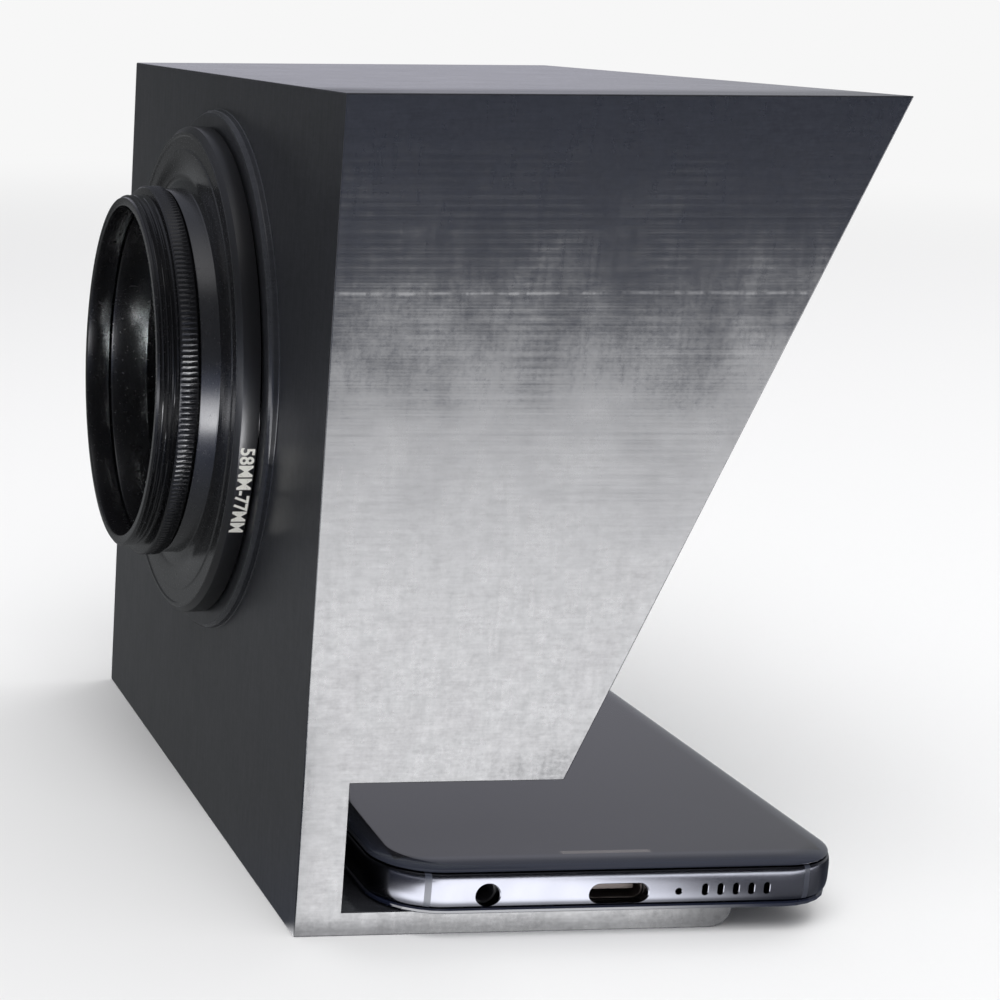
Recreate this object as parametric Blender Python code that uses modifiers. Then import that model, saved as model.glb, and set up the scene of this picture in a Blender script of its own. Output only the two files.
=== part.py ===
"""Smartphone teleprompter: a printed hood that hangs on a camera lens, its beam-splitter glass, the ring
stack that screws it to the lens, and the phone that lies on its tray as the display.

Units are metres. +X points out of the hood towards the presenter, +Y runs across the hood, +Z is up.
The origin is the centre of the tray's underside. The lens axis is parallel to X, at z = LENS_AXIS_Z.
"""

import math

import bmesh
import bpy
from mathutils import Vector

NAME = "teleprompter"
SHARP_ANGLE = math.radians(35)
BEVEL_ANGLE = math.radians(60)
MERGE_DISTANCE = 1e-6
RING_STEPS = 72
QUARTER = math.pi / 2
ALONG_X = (0, QUARTER, 0)         # turns a local Z axis onto X
UPRIGHT = (QUARTER, 0, 0)         # turns a local Y axis onto Z, and Z onto -Y
FACING_X = (QUARTER, 0, QUARTER)  # stands an outline up across the hood: (x, y) becomes (Y, Z)

# ---------------------------------------------------------------- scene and collections
for old in list(bpy.data.objects):
    bpy.data.objects.remove(old)

parts = bpy.data.collections.new(NAME)
cutters = bpy.data.collections.new(NAME + "_cutters")
for collection in (parts, cutters):
    bpy.context.scene.collection.children.link(collection)


# ---------------------------------------------------------------- shapes
def mesh_object(name, bm, location, rotation):
    mesh = bpy.data.meshes.new(name)
    bm.to_mesh(mesh)
    bm.free()
    obj = bpy.data.objects.new(name, mesh)
    obj.location, obj.rotation_euler = location, rotation
    parts.objects.link(obj)
    return obj


def box(name, size, location, rotation=(0, 0, 0), shift=(0, 0, 0)):
    """A box whose centre is moved from its origin by shift."""
    bm = bmesh.new()
    bmesh.ops.create_cube(bm, size=1.0)
    bmesh.ops.scale(bm, vec=Vector(size), verts=bm.verts)
    bmesh.ops.translate(bm, vec=Vector(shift), verts=bm.verts)
    return mesh_object(name, bm, location, rotation)


def cylinder(name, radius, depth, location, rotation=(0, 0, 0), segments=24):
    bm = bmesh.new()
    bmesh.ops.create_cone(
        bm, cap_ends=True, segments=segments, radius1=radius, radius2=radius, depth=depth
    )
    return mesh_object(name, bm, location, rotation)


def plate(name, outline, thickness, location, rotation=(0, 0, 0)):
    """A flat outline as a filled 2D curve, made a mesh. It is centred on its own plane."""
    curve = bpy.data.curves.new(name + "_outline", "CURVE")
    curve.dimensions, curve.fill_mode = "2D", "BOTH"
    curve.extrude = thickness / 2
    spline = curve.splines.new("POLY")
    spline.points.add(len(outline) - 1)
    for point, (x, y) in zip(spline.points, outline):
        point.co = (x, y, 0.0, 1.0)
    spline.use_cyclic_u = True
    guide = bpy.data.objects.new(name + "_outline", curve)
    guide.location, guide.rotation_euler = location, rotation
    parts.objects.link(guide)
    bpy.context.view_layer.update()
    evaluated = guide.evaluated_get(bpy.context.evaluated_depsgraph_get())
    mesh = bpy.data.meshes.new_from_object(evaluated)

    # The curve's caps and walls come unjoined: weld them into one closed solid.
    bm = bmesh.new()
    bm.from_mesh(mesh)
    bmesh.ops.remove_doubles(bm, verts=bm.verts, dist=MERGE_DISTANCE)
    bmesh.ops.recalc_face_normals(bm, faces=bm.faces)
    bm.to_mesh(mesh)
    bm.free()
    obj = bpy.data.objects.new(name, mesh)
    obj.matrix_world = guide.matrix_world
    parts.objects.link(obj)
    bpy.data.objects.remove(guide)
    return obj


def rounded(width, length, radius, steps=7):
    """Corner points of a rectangle with round corners, anticlockwise."""
    points = []
    for i, (side_x, side_y) in enumerate(((1, 1), (-1, 1), (-1, -1), (1, -1))):
        centre_x = side_x * (width / 2 - radius)
        centre_y = side_y * (length / 2 - radius)
        for k in range(steps + 1):
            angle = QUARTER * (i + k / steps)
            points.append(
                (centre_x + radius * math.cos(angle), centre_y + radius * math.sin(angle))
            )
    return points


def stadium(width, length, steps=6):
    """A rectangle with round ends. The radius stops just short of half, so no points coincide."""
    return rounded(width, length, min(width, length) / 2 - 1e-5, steps)


def turned(name, profile):
    """A ring turned about the lens axis. The profile is (radius, distance along +X from the hood's
    back plane)."""
    mesh = bpy.data.meshes.new(name)
    count = len(profile)
    mesh.from_pydata(
        [(radius, 0.0, distance) for radius, distance in profile],
        [(i, (i + 1) % count) for i in range(count)],
        [],
    )
    obj = bpy.data.objects.new(name, mesh)
    obj.location, obj.rotation_euler = (BACK_X, 0.0, LENS_AXIS_Z), ALONG_X
    parts.objects.link(obj)
    screw = obj.modifiers.new("turn", "SCREW")
    screw.axis, screw.angle = "Z", 2 * math.pi
    screw.steps = screw.render_steps = RING_STEPS
    screw.use_merge_vertices, screw.merge_threshold = True, MERGE_DISTANCE
    return obj


def combine(target, tool, operation):
    """Adds a boolean, and moves its tool out of the model, to be kept as a wire."""
    parts.objects.unlink(tool)
    cutters.objects.link(tool)
    tool.hide_render, tool.display_type = True, "WIRE"
    step = target.modifiers.new(operation.lower(), "BOOLEAN")
    step.operation, step.object, step.solver = operation, tool, "EXACT"


def cut(target, tool):
    combine(target, tool, "DIFFERENCE")


def join(target, tool):
    combine(target, tool, "UNION")


def bevel(obj, width, segments=1):
    step = obj.modifiers.new("bevel", "BEVEL")
    step.width, step.segments = width, segments
    step.limit_method, step.angle_limit = "ANGLE", BEVEL_ANGLE
    step.harden_normals = False


def finish(obj, mat):
    """Gives an object its material and smooth shading between its sharp edges."""
    obj.data.materials.append(mat)
    if obj.data.polygons:  # a turned ring's mesh is only its profile
        obj.data.shade_smooth()
        obj.data.set_sharp_from_angle(angle=SHARP_ANGLE)


# ---------------------------------------------------------------- materials
def material(name, colour, roughness, metallic=0.0):
    mat = bpy.data.materials.new(name)
    mat.use_nodes = True
    shader = mat.node_tree.nodes["Principled BSDF"]
    shader.inputs["Base Color"].default_value = (*colour, 1.0)
    shader.inputs["Roughness"].default_value = roughness
    shader.inputs["Metallic"].default_value = metallic
    mat.diffuse_color = (*colour, 1.0)
    return mat


printed = material("printed_charcoal", colour=(0.055, 0.058, 0.068), roughness=0.42)
coated_glass = material("beam_splitter", colour=(0.62, 0.68, 0.70), roughness=0.04)
anodised = material("black_anodised", colour=(0.018, 0.018, 0.020), roughness=0.28, metallic=0.8)
phone_metal = material("phone_metal", colour=(0.10, 0.11, 0.15), roughness=0.25, metallic=0.9)
cover_glass = material("phone_cover_glass", colour=(0.012, 0.013, 0.018), roughness=0.06)
panel_dark = material("display_panel", colour=(0.04, 0.04, 0.045), roughness=0.35)
pouch = material("battery_pouch", colour=(0.10, 0.10, 0.11), roughness=0.45)
board_green = material("circuit_board", colour=(0.02, 0.09, 0.05), roughness=0.5)
steel = material("plated_steel", colour=(0.55, 0.55, 0.56), roughness=0.3, metallic=1.0)
black_plastic = material("black_plastic", colour=(0.02, 0.02, 0.022), roughness=0.5)
ribbon_orange = material("ribbon", colour=(0.35, 0.16, 0.03), roughness=0.45)
lens_black = material("lens_black", colour=(0.008, 0.008, 0.012), roughness=0.08)
flash_cream = material("flash_diffuser", colour=(0.75, 0.70, 0.55), roughness=0.3)
card_white = material("sim_plastic", colour=(0.75, 0.75, 0.73), roughness=0.5)

# ---------------------------------------------------------------- hood and beam-splitter glass
HOOD_WIDTH = 0.1330
HOOD_HEIGHT = 0.1214
BACK_X = -0.0332          # outer face of the back wall
TRAY_FRONT_X = 0.0332     # front end of the tray
TOP_FRONT_X = 0.0462      # front end of the top wall
BACK_T = 0.0070
WALL_T = 0.0038           # side and top walls, and the tray
INNER_Y = HOOD_WIDTH / 2 - WALL_T
TRAY_NOSE_R = 0.0034      # round under the tray's front edge
TRAY_LIP = 0.0040         # outline carried above the tray, for the hollow to cut away
SLOT_TOP_Z = 0.0236       # lower edge of the side walls
SLOT_FRONT_X = 0.0056     # where the side walls' slanted edge starts
LENS_AXIS_Z = 0.0732
HOLLOW_LENGTH = 0.12
OVERCUT = 0.01            # how far the hollow reaches past each side wall

BOSS_R = 0.0427
BOSS_INNER_R = 0.0360
BOSS_H = 0.0016
BOSS_ROOT = 0.0030        # how far the boss runs into the back wall
BOSS_CHAMFER = 0.0006
BACK_HOLE_R = 0.0387

GLASS_T = 0.0020
GLASS_LENGTH = 0.0904     # along the slope
GLASS_MID_X, GLASS_MID_Z = 0.01005, 0.08045
GLASS_TILT = math.radians(45)
GLASS_BEVEL = 0.0002
GROOVE_LENGTH = 0.1100
GROOVE_DEPTH = 0.0015
GROOVE_GAP = 0.0003       # on each face and at each side edge of the glass
GROOVE_END_GAP = 0.0004   # below the glass's lower end


def hood_side():
    """The hood's (X, Z) outline, anticlockwise from the lower back corner."""
    slope = (TOP_FRONT_X - SLOT_FRONT_X) / (HOOD_HEIGHT - SLOT_TOP_Z)
    nose = []
    for k in range(7):
        angle = math.radians(-90 + 15 * k)
        nose.append((
            TRAY_FRONT_X - TRAY_NOSE_R + TRAY_NOSE_R * math.cos(angle),
            TRAY_NOSE_R + TRAY_NOSE_R * math.sin(angle),
        ))
    # The slanted edge is carried on down to the middle of the slot, inside the hollow's cut.
    slot_middle = 0.5 * (WALL_T + SLOT_TOP_Z)
    return [
        (BACK_X, 0.0),
        *nose,
        (TRAY_FRONT_X, WALL_T + TRAY_LIP),
        (SLOT_FRONT_X - slope * (SLOT_TOP_Z - slot_middle), slot_middle),
        (TOP_FRONT_X, HOOD_HEIGHT),
        (BACK_X, HOOD_HEIGHT),
    ]


def hood_hollow():
    """Hollows the hood and opens the phone slot in both side walls: an upside-down T along X."""
    through = HOOD_WIDTH / 2 + OVERCUT
    tee = [
        (-through, WALL_T), (through, WALL_T),
        (through, SLOT_TOP_Z), (INNER_Y, SLOT_TOP_Z),
        (INNER_Y, HOOD_HEIGHT - WALL_T), (-INNER_Y, HOOD_HEIGHT - WALL_T),
        (-INNER_Y, SLOT_TOP_Z), (-through, SLOT_TOP_Z),
    ]
    middle = (BACK_X + BACK_T + HOLLOW_LENGTH / 2, 0, 0)
    return plate("hood_hollow", tee, HOLLOW_LENGTH, middle, FACING_X)


def glass_groove(label, side):
    """One side wall's groove, open through the slanted edge above the glass."""
    along = GROOVE_LENGTH / 2 - GLASS_LENGTH / 2 - GROOVE_END_GAP
    return box(
        f"groove_{label}",
        (GROOVE_LENGTH, 2 * GROOVE_DEPTH, GLASS_T + 2 * GROOVE_GAP),
        (
            GLASS_MID_X + along * math.cos(GLASS_TILT),
            side * INNER_Y,
            GLASS_MID_Z + along * math.sin(GLASS_TILT),
        ),
        (0, -GLASS_TILT, 0),
    )


def build_hood():
    hood = plate("hood_body", hood_side(), HOOD_WIDTH, (0, 0, 0), UPRIGHT)
    cut(hood, hood_hollow())
    boss = turned("hood_boss", [
        (BOSS_R, BOSS_ROOT),
        (BOSS_R, -BOSS_H + BOSS_CHAMFER),
        (BOSS_R - BOSS_CHAMFER, -BOSS_H),
        (BOSS_INNER_R, -BOSS_H),
        (BOSS_INNER_R, BOSS_ROOT),
    ])
    join(hood, boss)
    hole_at = (BACK_X + 0.003, 0, LENS_AXIS_Z)
    cut(hood, cylinder("hood_back_hole", BACK_HOLE_R, 0.05, hole_at, ALONG_X, RING_STEPS))
    cut(hood, glass_groove("far", 1))
    cut(hood, glass_groove("near", -1))
    finish(hood, printed)


def build_glass():
    glass = box(
        "beam_splitter_glass",
        (GLASS_LENGTH, 2 * (INNER_Y + GROOVE_DEPTH - GROOVE_GAP), GLASS_T),
        (GLASS_MID_X, 0.0, GLASS_MID_Z),
        (0, -GLASS_TILT, 0),
    )
    bevel(glass, GLASS_BEVEL)
    finish(glass, coated_glass)


build_hood()
build_glass()

# ---------------------------------------------------------------- ring stack
RIM_R = 0.0400            # step-up ring, 77 mm side
RIM_BORE_R = 0.03845
NECK_R = 0.0300
CLEAR_BORE_R = 0.0272
THREAD_58_R = 0.0290
STEP_MALE_R = THREAD_58_R - 0.0003
ADAPTER_R = 0.0304
ADAPTER_MALE_R = THREAD_58_R - 0.00005
RIM_CHAMFER = 0.00025
CHAMFER = 0.0003

LOCK_FLANGE_R = 0.0415
LOCK_BODY_R = 0.0381
LOCK_BORE_R = 0.0355
LOCK_FRONT = 0.0098       # from the hood's back plane
NOTCH_R = 0.0405
NOTCH_SIZE = (0.0024, 0.0032, 0.0034)

# Profiles: (radius, distance along +X from the hood's back plane), outer side first
STEP_UP_PROFILE = [
    (RIM_R - RIM_CHAMFER, -0.0020), (RIM_R, -0.00225),
    (RIM_R, -0.00535), (RIM_R - RIM_CHAMFER, -0.0056),
    (NECK_R + CHAMFER, -0.0056), (NECK_R, -0.0059),
    (NECK_R, -0.0084), (NECK_R - CHAMFER, -0.0087),
    (STEP_MALE_R, -0.0087), (STEP_MALE_R, -0.0106), (STEP_MALE_R - CHAMFER, -0.0109),
    (CLEAR_BORE_R, -0.0109), (CLEAR_BORE_R, -0.0044),
    (RIM_BORE_R, -0.0044), (RIM_BORE_R, -0.0020),
]
ADAPTER_PROFILE = [
    (ADAPTER_R - RIM_CHAMFER, -0.0090), (ADAPTER_R, -0.00925),
    (ADAPTER_R, -0.01175), (ADAPTER_R - RIM_CHAMFER, -0.0120),
    (ADAPTER_MALE_R, -0.0120), (ADAPTER_MALE_R, -0.0149), (ADAPTER_MALE_R - CHAMFER, -0.0152),
    (CLEAR_BORE_R, -0.0152), (CLEAR_BORE_R, -0.0113),
    (THREAD_58_R, -0.0113), (THREAD_58_R, -0.0090),
]
LOCK_PROFILE = [
    (LOCK_FLANGE_R - CHAMFER, LOCK_FRONT), (LOCK_FLANGE_R, LOCK_FRONT - CHAMFER),
    (LOCK_FLANGE_R, 0.0073), (LOCK_BODY_R, 0.0073),
    (LOCK_BODY_R, -0.0037), (LOCK_BODY_R - CHAMFER, -0.0040),
    (LOCK_BORE_R, -0.0040), (LOCK_BORE_R, LOCK_FRONT),
]


def build_lock_ring():
    """The flanged ring inside the hood, with four notches in its front face."""
    lock = turned("lock_ring", LOCK_PROFILE)
    for k in range(4):
        angle = math.radians(90 * k + 45)
        notch_at = (
            BACK_X + LOCK_FRONT,
            NOTCH_R * math.cos(angle),
            LENS_AXIS_Z + NOTCH_R * math.sin(angle),
        )
        cut(lock, box(f"lock_notch_{k + 1}", NOTCH_SIZE, notch_at, (angle, 0, 0)))
    finish(lock, anodised)


finish(turned("step_up_ring", STEP_UP_PROFILE), anodised)
finish(turned("lens_adapter_ring", ADAPTER_PROFILE), anodised)
build_lock_ring()

# ---------------------------------------------------------------- phone dimensions
# In the phone's own frame +X (across) is its right side, +Y (along) its top end, and z = 0 (depth)
# its back plane. A range is (low, high). A place is (across, along) unless a comment says otherwise.
PHONE_W, PHONE_L, PHONE_T = 0.0712, 0.1486, 0.0074
PHONE_R = 0.0100
PHONE_AT = (0.0142, 0.0048, 0.0041)   # centre of the phone's back plane
FRAME_DEPTH = (0.0010, 0.0063)
MID_PLATE = (0.0052, 0.0057)
FRAME_WALL = 0.0019
END, INNER_END = PHONE_L / 2, PHONE_L / 2 - FRAME_WALL
SIDE, INNER_SIDE = PHONE_W / 2, PHONE_W / 2 - FRAME_WALL
BOTTOM_CUT = (-END - 0.002, -INNER_END + 0.001)   # through the bottom end's wall
PORT_MOUTH = -INNER_END - 0.002                   # where cuts into the ports start
GAP = 0.0003

# Openings in the bottom end: (across, depth)
USB_AT = (0, 0.0028)
JACK_AT = (-0.0197, 0.00295)
MIC_AT = (0.0090, 0.0030)
SPEAKERS_AT = [(0.0130 + 0.00235 * i, 0.0032) for i in range(5)]

# Side keys: place and length along the phone
POWER_V, POWER_L = 0.0140, 0.0104
VOLUME_V, VOLUME_L = 0.0380, 0.0204
KEY_H, KEY_Z, KEY_OUT = 0.0016, 0.00365, 0.0004

SIM_X, SIM_Z = -0.0175, 0.0034
SIM_HALF_W, SIM_HALF_H = 0.00725, 0.0011

MAIN_BOARD, SUB_BOARD = (0.0015, 0.0023), (0.0025, 0.0031)
MAIN_SCREWS = [(-0.0285, 0.0330), (0.0285, 0.0330), (-0.0285, 0.0590)]
SUB_SCREWS = [(-0.0130, -0.0620), (0.0088, -0.0620)]
# Each screw with the depth range of the board it holds
SCREWS = [(at, MAIN_BOARD) for at in MAIN_SCREWS] + [(at, SUB_BOARD) for at in SUB_SCREWS]
SCREW_HOLE_R = 0.0010

CAMERA_AT = (0.0200, 0.0681)
FLASH_AT = (0.0040, 0.0681)
SENSOR_AT = (0, 0.0380)
THROUGH_BACK = (-0.001, 0.002)

phone = bpy.data.objects.new("phone_place", None)
phone.location = PHONE_AT
parts.objects.link(phone)


# ---------------------------------------------------------------- phone shapes
def in_phone(obj):
    obj.parent = phone
    return obj


def span(middle, half):
    return (middle - half, middle + half)


def mid(limits):
    return (limits[0] + limits[1]) / 2


def phone_outline(inset=0.0):
    return rounded(PHONE_W - 2 * inset, PHONE_L - 2 * inset, PHONE_R - inset)


def phone_plate(name, outline, depth, at=(0.0, 0.0)):
    return in_phone(plate(name, outline, depth[1] - depth[0], (*at, mid(depth))))


def phone_box(name, across, along, depth):
    ranges = (across, along, depth)
    size = [high - low for low, high in ranges]
    return in_phone(box(name, size, [mid(limits) for limits in ranges]))


def phone_cylinder(name, radius, depth, at, segments=24):
    height = depth[1] - depth[0]
    return in_phone(cylinder(name, radius, height, (*at, mid(depth)), segments=segments))


def end_cylinder(name, radius, along, at, segments=24):
    """A cylinder along the phone's length, at (across, depth)."""
    centre = (at[0], mid(along), at[1])
    return in_phone(cylinder(name, radius, along[1] - along[0], centre, UPRIGHT, segments))


def end_slot(name, width, height, along, at, steps=6):
    """A stadium along the phone's length, at (across, depth)."""
    outline = stadium(width, height, steps)
    centre = (at[0], mid(along), at[1])
    return in_phone(plate(name, outline, along[1] - along[0], centre, UPRIGHT))


# ---------------------------------------------------------------- phone frame and covers
def add_screw_bosses(frame):
    for i, (at, held) in enumerate(SCREWS, 1):
        depth = (held[1] + 0.0003, 0.0054)
        join(frame, phone_cylinder(f"screw_boss_{i}", 0.0018, depth, at, 16))
    for i, (at, held) in enumerate(SCREWS, 1):
        depth = (held[1] - 0.0003, 0.0050)
        cut(frame, phone_cylinder(f"screw_bore_{i}", SCREW_HOLE_R, depth, at, 12))


def open_frame(frame):
    """Cuts the bottom end's openings, the window in the middle plate, the keys' and the tray's."""
    cut(frame, end_slot("usb_opening", 0.0089, 0.0031, BOTTOM_CUT, USB_AT))
    cut(frame, end_cylinder("jack_opening", 0.0018, BOTTOM_CUT, JACK_AT))
    cut(frame, end_cylinder("mic_opening", 0.0005, BOTTOM_CUT, MIC_AT, 12))
    for i, at in enumerate(SPEAKERS_AT, 1):
        cut(frame, end_slot(f"speaker_opening_{i}", 0.0009, 0.0018, BOTTOM_CUT, at, 3))
    cut(frame, phone_box(
        "top_window", across=(-0.0070, 0.0114), along=(0.0655, INNER_END - 0.0002),
        depth=(0.0045, 0.0060),
    ))
    for label, middle, length in (("power", POWER_V, POWER_L), ("volume", VOLUME_V, VOLUME_L)):
        cut(frame, phone_box(
            f"{label}_opening", across=(INNER_SIDE - 0.001, SIDE + 0.001),
            along=span(middle, length / 2 + GAP), depth=span(KEY_Z, KEY_H / 2 + GAP),
        ))
    cut(frame, phone_box(
        "sim_opening", across=span(SIM_X, SIM_HALF_W + GAP),
        along=(INNER_END - 0.001, END + 0.001), depth=span(SIM_Z, SIM_HALF_H + GAP),
    ))


def build_frame():
    """The metal frame: a rim round a middle plate, hollow behind it and recessed in front."""
    frame = phone_plate("phone_frame", phone_outline(), FRAME_DEPTH)
    bevel(frame, 0.0011, segments=2)
    inner = phone_outline(FRAME_WALL)
    cut(frame, phone_plate("frame_cavity", inner, (-0.001, MID_PLATE[0])))
    cut(frame, phone_plate("frame_recess", inner, (MID_PLATE[1], 0.009)))
    add_screw_bosses(frame)
    open_frame(frame)
    finish(frame, phone_metal)


def build_covers():
    back = phone_plate("phone_back_glass", phone_outline(inset=0.0004), (0.0, 0.0008))
    bevel(back, 0.0003)
    cut(back, phone_plate("camera_opening", stadium(0.0206, 0.0092), THROUGH_BACK, CAMERA_AT))
    cut(back, phone_cylinder("flash_opening", 0.0024, THROUGH_BACK, FLASH_AT, 20))
    cut(back, phone_cylinder("sensor_opening", 0.0063, THROUGH_BACK, SENSOR_AT, 32))
    finish(back, cover_glass)

    front = phone_plate("phone_front_glass", phone_outline(inset=0.00035), (0.0065, PHONE_T))
    bevel(front, 0.00035, segments=2)
    earpiece_slot = stadium(0.0090, 0.0010, steps=4)
    cut(front, phone_plate("earpiece_opening", earpiece_slot, (0.005, 0.009), (0, 0.0712)))
    finish(front, cover_glass)

    screen = rounded(0.0652, 0.1350, 0.0060)
    panel = phone_plate("phone_display_panel", screen, (0.00585, 0.0063), at=(0.0, -0.0022))
    finish(panel, panel_dark)

    lens_cover = stadium(0.0200, 0.0086)
    camera = phone_plate("phone_rear_camera_cover", lens_cover, (-0.0009, 0.0008), CAMERA_AT)
    bevel(camera, 0.0003)
    finish(camera, lens_black)


# ---------------------------------------------------------------- phone insides
# Plain boxes: name, across, along, depth, (bevel width, segments) or None, material
BOXES = [
    ("phone_battery", (-0.0280, 0.0280), (-0.0500, 0.0260), (0.0013, 0.0045), (0.0006, 2), pouch),
    ("phone_ribbon_cable", (-0.0080, -0.0010), (-0.0560, 0.0300), (0.00475, 0.00495),
     None, ribbon_orange),
    ("phone_loudspeaker", (0.0120, 0.0268), (-0.0700, -0.0595), (0.0013, 0.0048),
     (0.0005, 1), black_plastic),
    ("phone_earpiece", (-0.0048, 0.0048), (0.0692, 0.0720), (0.0040, 0.0061),
     None, black_plastic),
    ("phone_rear_camera_module", (0.0118, 0.0275), (0.0643, 0.0716), (0.0013, 0.0049),
     (0.0004, 1), lens_black),
    ("phone_sim_card", span(SIM_X, 0.0044), (0.0558, 0.0681), (SIM_Z, SIM_Z + 0.0006),
     None, card_white),
]
# Plain cylinders: name, radius, depth, place, segments, material
CYLINDERS = [
    ("phone_vibration_motor", 0.0040, (0.0013, 0.0043), (-0.0265, -0.0630), 24, steel),
    ("phone_front_camera", 0.0023, (0.0033, 0.0063), (0.0082, 0.0695), 24, lens_black),
    ("phone_flash_window", 0.0021, (0.0, 0.0010), FLASH_AT, 20, flash_cream),
    ("phone_fingerprint_sensor", 0.0060, (0.00025, 0.0010), SENSOR_AT, 32, black_plastic),
]
# Shields on the main board: across, along, depth
SHIELDS = [
    ((0.0010, 0.0240), (0.0340, 0.0600), (0.0019, 0.0044)),
    ((-0.0260, -0.0060), (0.0370, 0.0495), (0.0019, 0.0042)),
]


def build_plain_parts():
    for name, across, along, depth, edge, mat in BOXES:
        part = phone_box(name, across, along, depth)
        if edge:
            bevel(part, *edge)
        finish(part, mat)
    for name, radius, depth, at, segments, mat in CYLINDERS:
        finish(phone_cylinder(name, radius, depth, at, segments), mat)


def drill_board(board, prefix, places):
    for i, at in enumerate(places, 1):
        cut(board, phone_cylinder(f"{prefix}_{i}", SCREW_HOLE_R, (0.0, 0.004), at, 12))


def build_boards():
    board = phone_box("phone_main_board", (-0.0315, 0.0315), (0.0295, 0.0620), MAIN_BOARD)
    for i, ranges in enumerate(SHIELDS, 1):
        join(board, phone_box(f"board_shield_{i}", *ranges))
    drill_board(board, "board_hole", MAIN_SCREWS)
    finish(board, board_green)

    lower = phone_box("phone_sub_board", (-0.0160, 0.0114), (-0.0718, -0.0590), SUB_BOARD)
    cut(lower, phone_box(
        "sub_board_notch", across=(-0.0048, 0.0048), along=(-0.0730, -0.0645), depth=(0.0, 0.006),
    ))
    drill_board(lower, "sub_board_hole", SUB_SCREWS)
    finish(lower, board_green)


def build_screws():
    for i, (at, held) in enumerate(SCREWS, 1):
        low = held[0] - 0.0004
        screw = phone_cylinder(f"phone_board_screw_{i}", 0.0013, (low, low + 0.00028), at, 16)
        shank_depth = (low + 0.0001, 0.0047)
        join(screw, phone_cylinder(f"screw_shank_{i}", 0.0007, shank_depth, at, 12))
        finish(screw, steel)


def build_ports():
    usb = end_slot("phone_usb_port", 0.0088, 0.0030, (-INNER_END + GAP, -0.0650), USB_AT)
    cut(usb, end_slot("usb_mouth", 0.00834, 0.00256, (PORT_MOUTH, -0.0658), USB_AT))
    join(usb, phone_box(
        "usb_tongue", across=(-0.00335, 0.00335), along=(-0.0712, -0.0654),
        depth=span(USB_AT[1], 0.00035),
    ))
    finish(usb, steel)

    jack = end_cylinder("phone_headphone_jack", 0.00195, (-INNER_END + GAP, -0.0590), JACK_AT)
    cut(jack, end_cylinder("jack_bore", 0.00165, (PORT_MOUTH, -0.0600), JACK_AT))
    finish(jack, black_plastic)


# ---------------------------------------------------------------- phone keys and SIM tray
def build_keys():
    """The power key has its origin at its centre, the volume rocker at its inner face."""
    inner, outer = INNER_SIDE - 0.0005, SIDE + KEY_OUT
    reach = outer - inner
    power_at = ((inner + outer) / 2, POWER_V, KEY_Z)
    power = box("phone_power_button", (reach, POWER_L, KEY_H), power_at)
    volume = box(
        "phone_volume_rocker", (reach, VOLUME_L, KEY_H), (inner, VOLUME_V, KEY_Z),
        shift=(reach / 2, 0, 0),
    )
    for key in (power, volume):
        in_phone(key)
        bevel(key, 0.0003, segments=2)
        finish(key, phone_metal)


def build_sim_tray():
    sim = phone_box(
        "phone_sim_tray", across=span(SIM_X, SIM_HALF_W),
        along=(INNER_END + 0.0003, END - 0.0001), depth=span(SIM_Z, SIM_HALF_H),
    )
    join(sim, phone_box(
        "sim_blade", across=span(SIM_X, 0.0062), along=(0.0525, INNER_END + 0.001),
        depth=(SIM_Z - 0.0005, SIM_Z + 0.0007),
    ))
    cut(sim, phone_box(
        "sim_well", across=span(SIM_X, 0.0047), along=(0.0555, 0.0684),
        depth=(SIM_Z - 0.0002, SIM_Z + 0.002),
    ))
    pin_at = (SIM_X + 0.0057, SIM_Z)
    cut(sim, end_cylinder("sim_pin_hole", 0.0004, (INNER_END, END + 0.001), pin_at, 12))
    finish(sim, phone_metal)


build_frame()
build_covers()
build_plain_parts()
build_boards()
build_screws()
build_ports()
build_keys()
build_sim_tray()
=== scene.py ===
"""Looks of the smartphone teleprompter: printed hood, beam-splitter glass, ring stack and phone.

Lengths are metres in the row frame unless a name ends in _mm: +X out of the hood, +Y across it, +Z up.
"""
import math

import bmesh
import bpy
import numpy as np
from mathutils import Matrix, Vector


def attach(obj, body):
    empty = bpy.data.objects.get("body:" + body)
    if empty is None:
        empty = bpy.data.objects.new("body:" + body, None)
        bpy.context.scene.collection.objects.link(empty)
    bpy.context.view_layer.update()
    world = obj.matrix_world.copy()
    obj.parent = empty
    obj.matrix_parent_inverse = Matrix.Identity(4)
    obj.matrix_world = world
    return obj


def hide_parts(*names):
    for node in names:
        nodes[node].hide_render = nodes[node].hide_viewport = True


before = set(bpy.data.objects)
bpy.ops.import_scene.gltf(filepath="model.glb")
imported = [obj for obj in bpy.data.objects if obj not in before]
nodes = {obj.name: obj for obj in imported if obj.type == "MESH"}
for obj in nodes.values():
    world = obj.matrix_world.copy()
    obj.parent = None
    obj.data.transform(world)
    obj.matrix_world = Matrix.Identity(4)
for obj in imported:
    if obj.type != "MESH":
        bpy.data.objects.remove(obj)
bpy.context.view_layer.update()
scene = bpy.context.scene
MM = 0.001

BACK_X = -0.0332
AXIS_Z = 0.0732
PHONE_AT = np.array([14.2, 4.8, 4.1])


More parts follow.
